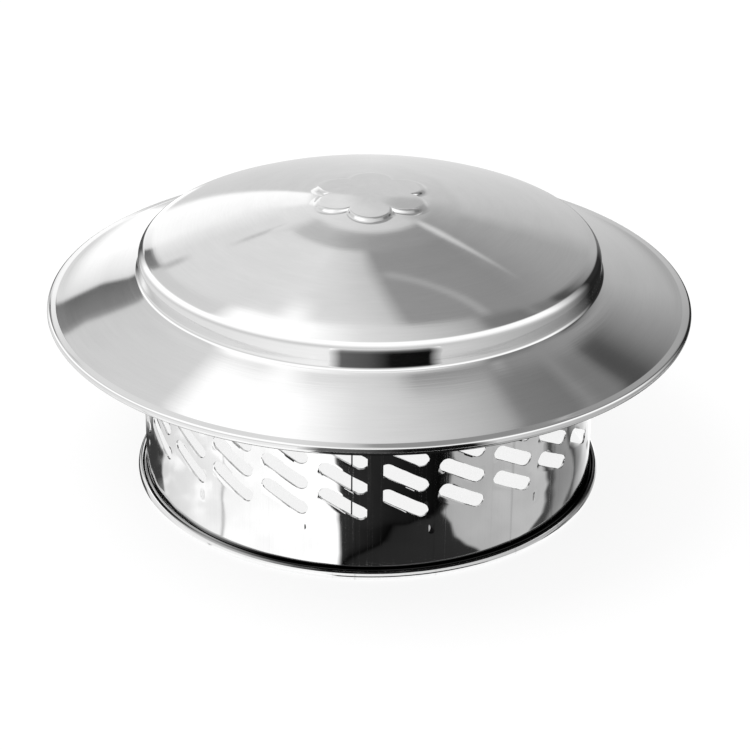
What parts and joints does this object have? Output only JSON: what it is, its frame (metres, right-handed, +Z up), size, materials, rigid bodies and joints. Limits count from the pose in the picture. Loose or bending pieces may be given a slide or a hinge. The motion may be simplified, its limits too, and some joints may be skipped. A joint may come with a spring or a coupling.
{
  "type": "chimney cap",
  "caption": "Round stainless steel chimney cap: a shallow domed hat with a wide sloping brim on a slotted band that slips over a flue pipe.",
  "frame": {"origin": "on the axis, in the plane that the band's bead rests on", "axes": "+Z up along the axis from the pipe towards the crown; -Y is the front, where the band is lapped"},
  "size_m": [0.2274, 0.2274, 0.1068],
  "materials": {
    "brushed_sheet": "satin, brushed round the axis",
    "polished_sheet": "mirror polished"
  },
  "bodies": {
    "root": {"rain_hat": "brushed_sheet", "slotted_band": "polished_sheet"}
  },
  "joints": []
}
